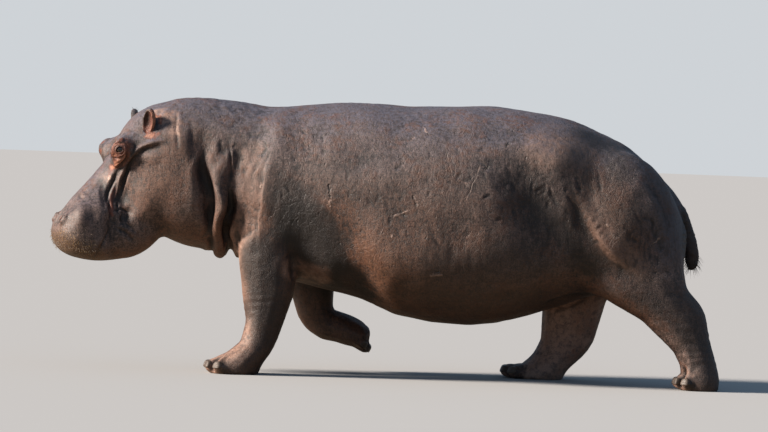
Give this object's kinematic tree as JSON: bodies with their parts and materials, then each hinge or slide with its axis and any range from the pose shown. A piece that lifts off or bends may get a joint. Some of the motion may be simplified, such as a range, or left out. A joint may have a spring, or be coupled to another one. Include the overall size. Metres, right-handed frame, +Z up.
{
  "type": "hippopotamus",
  "caption": "Hippopotamus at life size in mid stride, its right forefoot lifted and its lowered head turned to its left; still model of a barrel-bodied, short-legged mammal.",
  "frame": {"origin": "on the floor, under the middle of the bounding box", "axes": "-X is the way the animal walks and +X its tail, -Y its left side, +Z up"},
  "size_m": [3.573, 1.0442, 1.4626],
  "materials": {
    "hide": "bare wrinkled hide, dark umber grey, slightly moist sheen",
    "hide_warm": "thin bare skin of the ear, warm orange brown",
    "nail": "worn horn, satin",
    "eye": "wet eyeball, glossy"
  },
  "bodies": {
    "root": {"head": "hide", "neck": "hide", "trunk": "hide", "tail": "hide", "leg_front_left": "hide", "leg_front_right": "hide", "leg_hind_left": "hide", "leg_hind_right": "hide", "ear_left": "hide_warm", "ear_right": "hide_warm", "eye_left": "eye", "eye_right": "eye", "nail_front_left_1": "nail", "nail_front_left_2": "nail", "nail_front_left_3": "nail", "nail_front_left_4": "nail", "nail_front_right_1": "nail", "nail_front_right_2": "nail", "nail_front_right_3": "nail", "nail_front_right_4": "nail", "nail_hind_left_1": "nail", "nail_hind_left_2": "nail", "nail_hind_left_3": "nail", "nail_hind_left_4": "nail", "nail_hind_right_1": "nail", "nail_hind_right_2": "nail", "nail_hind_right_3": "nail", "nail_hind_right_4": "nail"}
  },
  "joints": []
}
